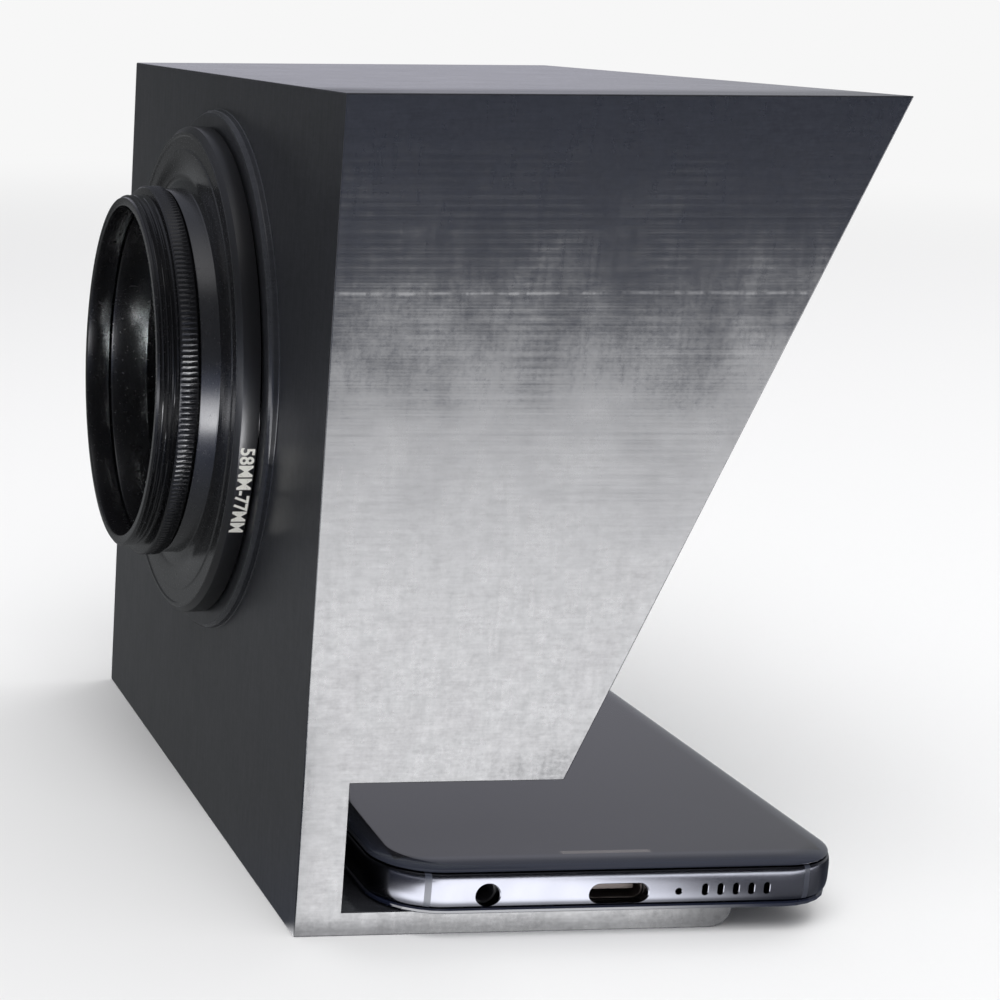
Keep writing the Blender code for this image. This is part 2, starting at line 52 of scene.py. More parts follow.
# ================================================================ shader helpers
class Shader:
    """A node tree written as expressions."""

    def __init__(self, name=None, tree=None):
        if tree is None:
            self.material = bpy.data.materials.new(name)
            self.material.use_nodes = True
            tree = self.material.node_tree
        self.tree = tree
        tree.nodes.clear()
        self._place = None

    def put(self, socket, value):
        if isinstance(value, bpy.types.NodeSocket):
            self.tree.links.new(value, socket)
        elif socket.type == "RGBA" and len(value) == 3:
            socket.default_value = (*value, 1.0)
        else:
            socket.default_value = value

    def node(self, kind, props=None, ins=None):
        n = self.tree.nodes.new(kind)
        for k, v in (props or {}).items():
            setattr(n, k, v)
        for k, v in (ins or {}).items():
            self.put(n.inputs[k], v)
        return n

    def math(self, op, a, b=None, c=None, clamp=False):
        n = self.node("ShaderNodeMath", {"operation": op, "use_clamp": clamp})
        for i, v in enumerate((a, b, c)):
            if v is not None:
                self.put(n.inputs[i], v)
        return n.outputs[0]

    def add(self, a, b):
        return self.math("ADD", a, b)

    def sub(self, a, b):
        return self.math("SUBTRACT", a, b)

    def mul(self, a, b):
        return self.math("MULTIPLY", a, b)

    def total(self, *terms):
        out = terms[0]
        for t in terms[1:]:
            out = self.add(out, t)
        return out

    def vec(self, op, a, b=None, scale=None):
        n = self.node("ShaderNodeVectorMath", {"operation": op})
        self.put(n.inputs[0], a)
        if b is not None:
            self.put(n.inputs[1], b)
        if scale is not None:
            self.put(n.inputs["Scale"], scale)
        return n.outputs["Value"] if op in ("LENGTH", "DOT_PRODUCT", "DISTANCE") else n.outputs[0]

    def join(self, x, y, z):
        n = self.node("ShaderNodeCombineXYZ")
        for i, v in enumerate((x, y, z)):
            self.put(n.inputs[i], v)
        return n.outputs[0]

    def split(self, v):
        n = self.node("ShaderNodeSeparateXYZ")
        self.put(n.inputs[0], v)
        return n.outputs[0], n.outputs[1], n.outputs[2]

    def place(self):
        """Millimetres in the row frame at rest."""
        if self._place is None:
            co = self.node("ShaderNodeTexCoord").outputs["Object"]
            self._place = self.vec("SCALE", co, scale=1000.0)
        return self._place

    def normal(self):
        return self.node("ShaderNodeNewGeometry").outputs["Normal"]

    def noise(self, v, scale=1.0, detail=2.0, rough=0.5, distort=0.0):
        n = self.node("ShaderNodeTexNoise", {"noise_dimensions": "3D"})
        self.put(n.inputs["Vector"], v)
        n.inputs["Scale"].default_value = scale
        n.inputs["Detail"].default_value = detail
        n.inputs["Roughness"].default_value = rough
        n.inputs["Distortion"].default_value = distort
        return n.outputs[0]

    def white(self, w):
        n = self.node("ShaderNodeTexWhiteNoise", {"noise_dimensions": "1D"})
        self.put(n.inputs["W"], w)
        return n.outputs["Value"]

    def voronoi(self, v, scale, feature="F1"):
        n = self.node("ShaderNodeTexVoronoi", {"feature": feature})
        self.put(n.inputs["Vector"], v)
        n.inputs["Scale"].default_value = scale
        return n.outputs["Distance"]

    def smooth(self, v, low, high, to_low=0.0, to_high=1.0):
        n = self.node("ShaderNodeMapRange", {"interpolation_type": "SMOOTHSTEP"})
        for k, val in (("Value", v), ("From Min", low), ("From Max", high), ("To Min", to_low), ("To Max", to_high)):
            self.put(n.inputs[k], val)
        return n.outputs[0]

    def linear(self, v, low, high, to_low=0.0, to_high=1.0):
        n = self.node("ShaderNodeMapRange", {"clamp": True})
        for k, val in (("Value", v), ("From Min", low), ("From Max", high), ("To Min", to_low), ("To Max", to_high)):
            self.put(n.inputs[k], val)
        return n.outputs[0]

    def mix(self, fac, a, b):
        """Colour mix."""
        n = self.node("ShaderNodeMix", {"data_type": "RGBA"})
        sockets = [s for s in n.inputs if s.enabled]
        self.put(n.inputs[0], fac)
        self.put(n.inputs[6], a)
        self.put(n.inputs[7], b)
        return n.outputs[2]

    def lerp(self, fac, a, b):
        """Number mix."""
        n = self.node("ShaderNodeMix", {"data_type": "FLOAT"})
        self.put(n.inputs[0], fac)
        self.put(n.inputs[2], a)
        self.put(n.inputs[3], b)
        return n.outputs[0]

    def tint(self, colour, factor):
        """Colour times a number."""
        return self.vec("SCALE", colour, scale=factor)

    def bump(self, height_mm, strength=1.0, normal=None):
        n = self.node("ShaderNodeBump")
        n.inputs["Strength"].default_value = strength
        n.inputs["Distance"].default_value = MM
        self.put(n.inputs["Height"], height_mm)
        if normal is not None:
            self.put(n.inputs["Normal"], normal)
        return n.outputs[0]

    def tilted(self, *terms):
        """The surface normal leaned by each (amount, direction) term."""
        out = self.normal()
        for amount, direction in terms:
            out = self.vec("ADD", out, self.vec("SCALE", direction, scale=amount))
        return self.vec("NORMALIZE", out)

    def surface(self, colour, rough, metal=0.0, ior=1.5, normal=None, coat=0.0, coat_rough=0.03, extra=None):
        bsdf = self.node("ShaderNodeBsdfPrincipled")
        self.put(bsdf.inputs["Base Color"], colour)
        self.put(bsdf.inputs["Roughness"], rough)
        self.put(bsdf.inputs["Metallic"], metal)
        self.put(bsdf.inputs["IOR"], ior)
        if normal is not None:
            self.put(bsdf.inputs["Normal"], normal)
        bsdf.inputs["Coat Weight"].default_value = coat
        bsdf.inputs["Coat Roughness"].default_value = coat_rough
        for k, v in (extra or {}).items():
            self.put(bsdf.inputs[k], v)
        out = self.node("ShaderNodeOutputMaterial")
        self.tree.links.new(bsdf.outputs[0], out.inputs["Surface"])
        return self.material


# ================================================================ mesh helpers
def make(name, verts, faces, sharp=35):
    mesh = bpy.data.meshes.new(name)
    mesh.from_pydata([tuple(map(float, v)) for v in verts], [], [tuple(int(i) for i in f) for f in faces])
    mesh.validate()
    obj = bpy.data.objects.new(name, mesh)
    scene.collection.objects.link(obj)
    mesh.shade_smooth()
    if sharp:
        mesh.set_sharp_from_angle(angle=math.radians(sharp))
    return obj


def rounded(a, b, r, n=24):
    """A rectangle of half sizes a, b with round corners, anticlockwise."""
    r = max(min(r, a - 1e-4, b - 1e-4), 1e-3)
    points = []
    for i, (sx, sy) in enumerate(((1, 1), (-1, 1), (-1, -1), (1, -1))):
        for k in range(n + 1):
            t = math.pi / 2 * (i + k / n)
            points.append((sx * (a - r) + r * math.cos(t), sy * (b - r) + r * math.sin(t)))
    return np.array(points)


def stack(name, loops, sharp=35):
    """A closed skin through equal loops of points, each (N, 3) in mm, capped at both ends."""
    n, verts, faces = len(loops[0]), np.vstack(loops) * MM, []
    for j in range(len(loops) - 1):
        for i in range(n):
            k = (i + 1) % n
            faces.append((j * n + i, j * n + k, (j + 1) * n + k, (j + 1) * n + i))
    faces.append(tuple(reversed(range(n))))
    faces.append(tuple(range((len(loops) - 1) * n, len(loops) * n)))
    obj = make(name, verts, faces, None)
    bm = bmesh.new()
    bm.from_mesh(obj.data)
    bmesh.ops.recalc_face_normals(bm, faces=bm.faces)
    bm.to_mesh(obj.data)
    bm.free()
    obj.data.shade_smooth()
    if sharp:
        obj.data.set_sharp_from_angle(angle=math.radians(sharp))
    return obj


def slab(name, half_u, half_v, radius, profile, at=(0, 0), n=24, sharp=35):
    """A rounded rectangle on the phone; profile is (inset, height above the phone's back plane) in mm."""
    loops = []
    for inset, w in profile:
        loop = rounded(half_u - inset, half_v - inset, radius - inset, n)
        loops.append(np.column_stack([loop[:, 0] + at[0], loop[:, 1] + at[1], np.full(len(loop), w)]) + PHONE_AT)
    return stack(name, loops, sharp)


def lathe(name, profile, steps, relief=None, sharp=30):
    """A ring about the lens axis; profile is closed, (radius, distance from the back plane, kind) in mm.
    relief gives, per kind, an offset of the radius as a function of angle and distance."""
    theta = np.linspace(0, 2 * math.pi, steps, endpoint=False)
    rows = []
    for point in profile:
        r, a = point[0], point[1]
        kind = point[2] if len(point) > 2 else None
        radius = np.full(steps, float(r))
        if kind:
            radius = radius + relief[kind](theta, a)
        rows.append(np.column_stack([np.full(steps, a), radius * np.cos(theta), radius * np.sin(theta)]))
    verts = np.vstack(rows) * MM + np.array([BACK_X, 0, AXIS_Z])
    count, faces = len(profile), []
    for j in range(count):
        k = (j + 1) % count
        for i in range(steps):
            m = (i + 1) % steps
            faces.append((j * steps + i, k * steps + i, k * steps + m, j * steps + m))
    obj = make(name, verts, faces, None)
    bm = bmesh.new()
    bm.from_mesh(obj.data)
    bmesh.ops.recalc_face_normals(bm, faces=bm.faces)
    bm.to_mesh(obj.data)
    bm.free()
    obj.data.shade_smooth()
    obj.data.set_sharp_from_angle(angle=math.radians(sharp))
    return obj


def from_cad(node, name, merge=1e-6, flat=True):
    """A fresh mesh with the CAD node's shape, its seams closed and its flat faces whole."""
    bm = bmesh.new()
    bm.from_mesh(nodes[node].data)
    bmesh.ops.remove_doubles(bm, verts=bm.verts, dist=merge)
    if flat:
        bmesh.ops.dissolve_limit(bm, angle_limit=math.radians(0.6), verts=bm.verts, edges=bm.edges)
    clean = bmesh.new()
    table = {v: clean.verts.new(v.co) for v in bm.verts}
    for f in bm.faces:
        try:
            clean.faces.new([table[v] for v in f.verts])
        except ValueError:
            pass
    mesh = bpy.data.meshes.new(name)
    clean.to_mesh(mesh)
    bm.free()
    clean.free()
    obj = bpy.data.objects.new(name, mesh)
    scene.collection.objects.link(obj)
    mesh.shade_smooth()
    mesh.set_sharp_from_angle(angle=math.radians(35))
    return obj


def bevel(obj, width_mm, segments=2, angle=40):
    step = obj.modifiers.new("bevel", "BEVEL")
    step.width, step.segments = width_mm * MM, segments
    step.limit_method, step.angle_limit = "ANGLE", math.radians(angle)
    step.harden_normals = True
    return obj


def bake(obj):
    """Applies the modifiers."""
    bpy.context.view_layer.update()
    seen = obj.evaluated_get(bpy.context.evaluated_depsgraph_get())
    mesh = bpy.data.meshes.new_from_object(seen)
    obj.modifiers.clear()
    obj.data = mesh
    return obj


def cut(obj, tool, how="DIFFERENCE"):
    step = obj.modifiers.new("cut", "BOOLEAN")
    step.operation, step.object, step.solver = how, tool, "EXACT"
    bake(obj)
    mesh = tool.data
    bpy.data.objects.remove(tool)
    bpy.data.meshes.remove(mesh)
    return obj


def joined(name, parts):
    """Several closed skins as one mesh object."""
    bm = bmesh.new()
    for p in parts:
        bm.from_mesh(p.data)
    mesh = bpy.data.meshes.new(name)
    bm.to_mesh(mesh)
    bm.free()
    for p in parts:
        bpy.data.objects.remove(p)
    obj = bpy.data.objects.new(name, mesh)
    scene.collection.objects.link(obj)
    return obj


def give(obj, material, body, slot, *stands_for):
    obj.data.materials.clear()
    obj.data.materials.append(material)
    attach(obj, body)
    if stands_for:
        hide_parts(*stands_for)
    return obj


# ================================================================ materials
def printed_material():
    """Charcoal filament with a silk sheen: fine layers on the walls, diagonal tracks on flat tops."""
    g = Shader("printed_charcoal")
    p = g.place()
    x, y, z = g.split(p)
    nx, ny, nz = g.split(g.normal())
    level = g.smooth(g.math("ABSOLUTE", nz), 0.6, 0.9)
    wall = g.sub(1.0, level)
    # walls
    layer_at = g.math("DIVIDE", g.add(z, g.mul(g.noise(p, 0.03, 1), 0.15)), 0.2)
    layer = g.math("FLOOR", layer_at)
    per_layer = g.sub(g.white(layer), 0.5)
    bead = g.math("SINE", g.mul(layer_at, 2 * math.pi))
    line = g.sub(g.noise(g.join(g.mul(x, 0.40), g.mul(y, 0.40), g.mul(z, 3.2)), 1.0, 2.0), 0.5)
    ripple = g.mul(g.math("SINE", g.mul(z, 2 * math.pi / 1.2)), g.smooth(g.noise(p, 0.09, 1.0), 0.35, 0.65))
    band = g.sub(g.noise(g.join(g.mul(x, 0.02), g.mul(y, 0.02), g.mul(z, 0.42)), 1.0, 2.0), 0.5)
    cloud = g.sub(g.noise(p, 0.11, 2.0), 0.5)
    ghost = g.sub(g.noise(g.join(g.mul(x, 1.3), g.mul(y, 1.3), g.mul(z, 0.16)), 1.0, 2.0), 0.5)
    grain = g.sub(g.noise(p, 1.9, 3.0, 0.6), 0.5)
    mottle = g.sub(g.noise(g.join(g.mul(x, 0.55), g.mul(y, 0.55), g.mul(z, 0.8)), 1.0, 3.0, 0.6), 0.5)
    # one coarser layer where the print paused
    pause = g.smooth(g.math("ABSOLUTE", g.sub(z, g.add(94.5, g.mul(cloud, 0.6)))), 0.0, 0.35, 1.0, 0.0)
    pause = g.mul(pause, g.smooth(g.noise(g.join(g.mul(x, 0.35), g.mul(y, 0.35), 7.0), 1.0, 3.0, 0.7), 0.42, 0.56))
    lean_z = g.total(
        g.mul(bead, 0.008), g.mul(per_layer, 0.007), g.mul(line, 0.016), g.mul(band, 0.009), g.mul(cloud, 0.055),
        g.mul(grain, 0.038), g.mul(pause, -0.022), g.mul(ghost, 0.020), g.mul(ripple, 0.005), g.mul(mottle, 0.034),
    )
    lean_side = g.total(g.mul(ghost, 0.055), g.mul(grain, 0.035))
    # flat tops: diagonal tracks 0.42 mm wide
    across = g.mul(g.add(x, y), 0.7071)
    track = g.math("FLOOR", g.math("DIVIDE", across, 0.42))
    lean_track = g.total(
        g.mul(g.math("SINE", g.mul(across, 2 * math.pi / 0.42)), 0.03), g.mul(g.sub(g.white(track), 0.5), 0.05),
        g.mul(grain, 0.06),
    )
    # tops roll off a little towards their rims
    roll_y = g.mul(g.smooth(g.math("ABSOLUTE", y), 42.0, 60.0, 0.0, 0.13), g.math("SIGN", y))
    roll_x = g.smooth(x, -32.0, -20.0, -0.11, 0.0)
    normal = g.tilted(
        (g.mul(roll_y, level), (0, 1, 0)),
        (g.mul(roll_x, level), (1, 0, 0)),
        (g.mul(lean_z, wall), (0, 0, 1)),
        (g.mul(lean_side, wall), g.join(ny, g.mul(nx, -1.0), 0.0)),
        (g.mul(lean_track, level), (0.7071, 0.7071, 0.0)),
    )
    shade = g.total(1.0, g.mul(line, 0.35), g.mul(grain, 0.4), g.mul(cloud, 0.25), g.mul(mottle, 0.4))
    colour = g.tint((0.0195, 0.0205, 0.0240), shade)
    rough = g.total(0.145, g.mul(grain, 0.09), g.mul(cloud, 0.05), g.mul(g.smooth(g.math("ABSOLUTE", nx), 0.6, 0.9), 0.18))
    sheen = g.total(0.5, g.mul(mottle, 0.24), g.mul(line, 0.12), g.mul(ghost, 0.12), g.mul(grain, 0.20))
    return g.surface(colour, rough, ior=1.62, normal=normal, extra={"Specular IOR Level": sheen})


def anodised_material(name, rough, ior):
    """Black anodised aluminium, turned: very fine rings around the axis."""
    g = Shader(name)
    p = g.place()
    x, y, z = g.split(p)
    rad = g.vec("LENGTH", g.join(0.0, y, g.sub(z, 73.2)))
    turned = g.sub(g.noise(g.join(g.mul(x, 9.0), g.mul(rad, 9.0), 0.0), 1.0, 2.0), 0.5)
    dust = g.noise(p, 1.3, 4.0, 0.65)
    shade = g.total(0.95, g.mul(turned, 0.3), g.mul(g.smooth(dust, 0.62, 0.8), 0.7))
    colour = g.tint((0.0045, 0.0045, 0.0052), shade)
    roughness = g.total(rough, g.mul(turned, 0.08), g.mul(g.smooth(dust, 0.55, 0.8), 0.12))
    normal = g.tilted((g.mul(turned, 0.05), (1, 0, 0)))
    return g.surface(colour, roughness, ior=ior, normal=normal)


def engraving_material():
    g = Shader("size_mark_white")
    p = g.place()
    wear = g.noise(p, 3.0, 3.0, 0.6)
    colour = g.mix(g.smooth(wear, 0.55, 0.75), (0.88, 0.87, 0.81), (0.60, 0.59, 0.54))
    return g.surface(colour, 0.55)


def glass_material():
    """Beam-splitter: clear plate with a thin partial mirror on it."""
    g = Shader("beam_splitter_glass")
    p = g.place()
    smear = g.noise(p, 0.035, 4.0, 0.6, 0.6)
    edge = g.smooth(g.math("ABSOLUTE", g.split(p)[1]), 61.5, 63.8)
    rough = g.total(0.015, g.mul(g.smooth(smear, 0.5, 0.8), 0.04))
    clear = g.node("ShaderNodeBsdfPrincipled")
    g.put(clear.inputs["Base Color"], g.mix(edge, (0.90, 0.96, 0.95), (0.62, 0.80, 0.76)))
    g.put(clear.inputs["Roughness"], rough)
    g.put(clear.inputs["IOR"], 1.52)
    g.put(clear.inputs["Transmission Weight"], 1.0)
    mirror = g.node("ShaderNodeBsdfPrincipled")
    g.put(mirror.inputs["Base Color"], (0.72, 0.76, 0.80))
    g.put(mirror.inputs["Metallic"], 1.0)
    g.put(mirror.inputs["Roughness"], rough)
    both = g.node("ShaderNodeMixShader")
    g.put(both.inputs[0], g.add(0.20, g.mul(smear, 0.04)))
    g.tree.links.new(clear.outputs[0], both.inputs[1])
    g.tree.links.new(mirror.outputs[0], both.inputs[2])
    out = g.node("ShaderNodeOutputMaterial")
    g.tree.links.new(both.outputs[0], out.inputs["Surface"])
    return g.material


def phone_place(g):
    """The phone's own u, v, w in mm."""
    return g.split(g.vec("SUBTRACT", g.place(), tuple(PHONE_AT)))


def phone_metal_material():
    """Dark blue metal with moulded antenna lines across both ends."""
    g = Shader("phone_metal")
    u, v, w = phone_place(g)
    p = g.place()
    grain = g.sub(g.noise(p, 6.0, 2.0), 0.5)
    soft = g.sub(g.noise(p, 0.2, 2.0), 0.5)
    line = g.smooth(g.math("ABSOLUTE", g.sub(g.math("ABSOLUTE", u), 28.6)), 0.42, 0.5, 1.0, 0.0)
    line = g.mul(line, g.smooth(g.math("ABSOLUTE", v), 66.0, 67.0))
    colour = g.mix(line, g.tint((0.086, 0.088, 0.099), g.add(1.0, g.mul(soft, 0.2))), (0.030, 0.034, 0.048))
    metal = g.lerp(line, 1.0, 0.0)
    rough = g.total(g.lerp(line, 0.20, 0.34), g.mul(grain, 0.08))
    return g.surface(colour, rough, metal=metal, normal=g.tilted((g.mul(grain, 0.03), (0, 0, 1))))


def front_glass_material():
    """Black-backed cover glass: a lighter blue border round the display, partly its own ink and partly a painted
    reflection of the dim sky in the curved edge; finger marks; a plain dash under the display.
    """
    g = Shader("phone_front_glass")
    u, v, w = phone_place(g)
    p = g.place()
    marks = g.noise(p, 0.07, 4.0, 0.6, 0.8)
    fine = g.noise(p, 2.4, 4.0, 0.7)
    dx = g.sub(g.math("ABSOLUTE", u), 32.6)
    dy = g.sub(g.math("ABSOLUTE", g.add(v, 2.2)), 67.5)
    active = g.smooth(g.math("MAXIMUM", dx, dy), -0.15, 0.05, 1.0, 0.0)
    flat = g.smooth(w, 7.18, 7.38)
    dash = g.mul(
        g.smooth(g.math("ABSOLUTE", g.add(u, 0.3)), 6.4, 7.2, 1.0, 0.0),
        g.smooth(g.math("ABSOLUTE", g.add(v, 69.0)), 0.35, 0.8, 1.0, 0.0),
    )
    # Outside the display the glass is lighter and bluer. This is its dark ink border plus a painted reflection of the
    # dim sky on the curved edge.
    base = g.mix(active, (0.0260, 0.0290, 0.0410), (0.0105, 0.0105, 0.0125))
    haze = g.total(0.9, g.mul(g.smooth(marks, 0.45, 0.75), 0.5), g.mul(g.smooth(fine, 0.62, 0.78), 0.6))
    base = g.mix(g.mul(flat, 0.5), base, g.tint((0.0185, 0.0183, 0.0225), haze))
    base = g.mix(g.mul(dash, 0.42), base, (0.21, 0.19, 0.18))
    rough = g.total(0.055, g.mul(g.smooth(marks, 0.45, 0.8), 0.10), g.mul(g.smooth(fine, 0.6, 0.8), 0.10))
    return g.surface(base, rough, ior=1.52)


def speckled(name, colour, rough, metal=0.0, scale=1.5, depth=0.25, ior=1.5, other=None, other_scale=0.3):
    g = Shader(name)
    p = g.place()
    grain = g.sub(g.noise(p, scale, 3.0, 0.6), 0.5)
    tone = g.tint(colour, g.add(1.0, g.mul(grain, 2 * depth)))
    if other is not None:
        tone = g.mix(g.smooth(g.noise(p, other_scale, 2.0), 0.45, 0.6), tone, other)
    roughness = g.add(rough, g.mul(grain, 0.15))
    return g.surface(tone, roughness, metal=metal, ior=ior, normal=g.tilted((g.mul(grain, 0.06), (0, 0, 1))))


def board_material():
    """Solder mask with copper tracks, pads and grey shields."""
    g = Shader("circuit_board")
    u, v, w = phone_place(g)
    p = g.place()
    tracks = g.voronoi(g.join(g.mul(u, 0.45), g.mul(v, 0.45), 0.0), 1.0, "DISTANCE_TO_EDGE")
    lines = g.smooth(tracks, 0.02, 0.05, 1.0, 0.0)
    pads = g.smooth(g.voronoi(g.join(u, v, 0.0), 0.9), 0.10, 0.14, 1.0, 0.0)
    mask = g.mix(lines, (0.010, 0.055, 0.028), (0.022, 0.110, 0.050))
    mask = g.mix(pads, mask, (0.65, 0.52, 0.28))
    high = g.smooth(w, 3.3, 3.5)
    colour = g.mix(high, mask, (0.50, 0.50, 0.51))
    grain = g.sub(g.noise(p, 3.0, 2.0), 0.5)
    metal = g.math("MAXIMUM", high, pads)
    rough = g.total(0.35, g.mul(grain, 0.2))
    return g.surface(colour, rough, metal=metal)


PRINT = printed_material()
RING = anodised_material("black_anodised", 0.235, 2.25)
RING_SIDE = anodised_material("black_anodised_rim", 0.30, 1.85)
KNURL = anodised_material("black_anodised_knurl", 0.24, 1.75)
MARK = engraving_material()
GLASS = glass_material()
METAL = phone_metal_material()
FRONT = front_glass_material()
BACK = speckled("phone_back_glass", (0.010, 0.013, 0.028), 0.07, scale=0.2, depth=0.12, ior=1.52)
PANEL = speckled("display_panel", (0.020, 0.020, 0.024), 0.30, scale=4.0, depth=0.2)
POUCH = speckled("battery_pouch", (0.075, 0.076, 0.080), 0.38, metal=0.3, scale=0.5, depth=0.15)
BOARD = board_material()
STEEL = speckled("plated_steel", (0.52, 0.52, 0.54), 0.28, metal=1.0, scale=3.0, depth=0.12)
# The USB shell is coloured dark brown-black instead of bright plated steel: painted shade for the inside of the port.
PORT_SHADED = speckled("port_shell_painted_shade", (0.045, 0.036, 0.032), 0.42, metal=0.6, scale=3.0, depth=0.2)
PLASTIC = speckled("black_plastic", (0.016, 0.016, 0.018), 0.45, scale=4.0, depth=0.25)
RIBBON = speckled("ribbon", (0.30, 0.13, 0.022), 0.40, scale=1.2, depth=0.15, other=(0.20, 0.085, 0.015))
LENS = speckled("lens_black", (0.006, 0.006, 0.010), 0.07, scale=0.8, depth=0.2, ior=1.6)
CREAM = speckled("flash_diffuser", (0.72, 0.66, 0.48), 0.25, scale=3.0, depth=0.08)
CARD = speckled("card_plastic", (0.70, 0.70, 0.67), 0.45, scale=2.0, depth=0.06)

# ================================================================ hood and glass
hood = from_cad("hood_body", "hood_print")
bevel(hood, 0.22, 2, 40)
give(hood, PRINT, "hood", "printed_hood", "hood_body")

pane = from_cad("beam_splitter_glass", "beam_splitter_pane")
give(pane, GLASS, "glass", "beam_splitter", "beam_splitter_glass")


# ================================================================ rings
def knurl(teeth, depth):
    def f(theta, a):
        t = (theta * teeth / (2 * math.pi)) % 1.0
        return -depth * np.abs(2 * t - 1) ** 1.3
    return f


def thread(pitch, depth, sign):
    """Sign -1 cuts into an outer side, +1 into a bore."""
    def f(theta, a):
        t = ((a - pitch * theta / (2 * math.pi)) / pitch) % 1.0
        return sign * depth * np.clip(np.abs(2 * t - 1) * 1.25 - 0.12, 0, 1)
    return f


relief = {
    "knurl": knurl(224, 0.16),
    "m58": thread(0.75, 0.42, -1), "f58": thread(0.75, 0.42, 1),
    "m77": thread(0.75, 0.42, -1), "f77": thread(0.75, 0.42, 1),
}


def threaded(r, start, end, kind, per_pitch=7):
    n = max(2, int(abs(end - start) / 0.75 * per_pitch))
    return [(r, start + (end - start) * i / n, kind) for i in range(n + 1)]


step_profile = (
    [(39.75, -2.0), (39.93, -2.07), (40.0, -2.25), (40.0, -4.6), (39.97, -4.75), (39.2, -5.5), (39.05, -5.6),
     (30.35, -5.6), (30.1, -5.7), (30.0, -5.95), (30.0, -8.4), (29.9, -8.62), (29.7, -8.7), (28.75, -8.7)]
    + threaded(28.7, -8.8, -10.55, "m58")
    + [(28.3, -10.9), (27.5, -10.9), (27.25, -10.8), (27.2, -10.6), (27.2, -4.6), (27.25, -4.45), (27.4, -4.4), (38.4, -4.4)]
    + threaded(38.45, -4.3, -2.2, "f77")
    + [(38.7, -2.0)]
)
# The web between the two rings has shallow turned steps.
web = [(38.6, -5.6), (38.4, -5.45), (36.4, -5.45), (36.2, -5.6), (32.6, -5.6), (32.4, -5.5), (31.2, -5.5), (31.0, -5.6)]
at = step_profile.index((39.05, -5.6)) + 1
step_profile[at:at] = web
step_ring = lathe("step_up_ring_turned", step_profile, 240, relief)
give(step_ring, RING, "step_ring", "black_anodised", "step_up_ring")
step_ring.data.materials.append(RING_SIDE)
for f in step_ring.data.polygons:
    c = f.center
    if math.hypot(c.y, c.z - AXIS_Z) > 0.0392:
        f.material_index = 1

adapter_profile = (
    [(29.7, -9.0), (30.1, -9.05), (30.22, -9.2), (30.4, -9.35, "knurl"), (30.4, -11.65, "knurl"), (30.22, -11.8),
     (30.1, -11.95), (29.7, -12.0), (29.0, -12.0)]
    + threaded(28.95, -12.1, -14.85, "m58")
    + [(28.5, -15.2), (27.5, -15.2), (27.25, -15.1), (27.2, -14.9), (27.2, -11.5), (27.3, -11.3), (28.9, -11.3)]
    + threaded(29.0, -11.2, -9.2, "f58")
    + [(29.3, -9.0)]
)
adapter = lathe("lens_adapter_ring_turned", adapter_profile, 896, relief)
give(adapter, KNURL, "adapter_ring", "black_anodised", "lens_adapter_ring")

lock_profile = (
    [(41.2, 9.8), (41.42, 9.72), (41.5, 9.5), (41.5, 7.45), (41.42, 7.34), (41.3, 7.3), (38.2, 7.3)]
    + threaded(38.1, 7.15, -3.6, "m77")
    + [(37.7, -4.0), (35.8, -4.0), (35.55, -3.9), (35.5, -3.7), (35.5, 9.4), (35.6, 9.7), (35.9, 9.8)]
)
lock = lathe("lock_ring_turned", lock_profile, 240, relief)
tools = []
for k in range(4):
    a = math.radians(90 * k + 45)
    m = (
        Matrix.Translation((BACK_X + 0.0098, 0.0405 * math.cos(a), AXIS_Z + 0.0405 * math.sin(a)))
        @ Matrix.Rotation(a, 4, "X") @ Matrix.Diagonal((0.0024, 0.0032, 0.0034, 1))
    )
    bm = bmesh.new()
    bmesh.ops.create_cube(bm, size=1.0, matrix=m)
    mesh = bpy.data.meshes.new("notch")
    bm.to_mesh(mesh)
    bm.free()
    t = bpy.data.objects.new("notch", mesh)
    scene.collection.objects.link(t)
    tools.append(t)
cut(lock, joined("notches", tools))
lock.data.set_sharp_from_angle(angle=math.radians(30))
give(lock, RING, "clamp_ring", "black_anodised", "lock_ring")

# Thread sizes on the rim, as on any step-up ring: read downwards, tops towards the hood.
curve = bpy.data.curves.new("size_mark", "FONT")
curve.body = "58MM-77MM"
curve.size, curve.extrude, curve.offset = 1.0, 0.02, 0.024
curve.resolution_u = 3
label = bpy.data.objects.new("size_mark_outline", curve)
scene.collection.objects.link(label)
bpy.context.view_layer.update()
mesh = bpy.data.meshes.new_from_object(label.evaluated_get(bpy.context.evaluated_depsgraph_get()))
bpy.data.objects.remove(label)
co = np.array([v.co for v in mesh.vertices])
s = (co[:, 0] - co[:, 0].min()) / np.ptp(co[:, 0])
t = (co[:, 1] - co[:, 1].min()) / np.ptp(co[:, 1])
phi = np.radians(7.7) + s * 14.9 / 40
r = 40.015 + co[:, 2] * 0.6
co = np.column_stack([-4.58 + 2.30 * t, -r * np.cos(phi), -r * np.sin(phi)]) * MM + np.array([BACK_X, 0, AXIS_Z])
mesh.vertices.foreach_set("co", co.ravel())
mesh.update()
mark = bpy.data.objects.new("ring_size_mark", mesh)
scene.collection.objects.link(mark)
give(mark, MARK, "step_ring", "black_anodised")

# ================================================================ phone
HALF_U, HALF_V, CORNER = 35.6, 74.3, 10.0


def belly(t, most, power):
    return most * (1 - (1 - abs(t) ** power) ** (1 / power))


outer = []
for i in range(25):
    t = -math.cos(math.pi * i / 24)
    w = 3.65 + 2.65 * t
    outer.append((belly(t, 0.60, 3.0) if t > 0 else belly(t, 0.90, 3.0), w))
shell = [(1.9, 5.2), (1.9, 1.3), (1.75, 1.0)] + outer + [(1.75, 6.32), (1.9, 6.2), (1.9, 5.7)]
band = slab("phone_frame_band", HALF_U, HALF_V, CORNER, shell, n=32)


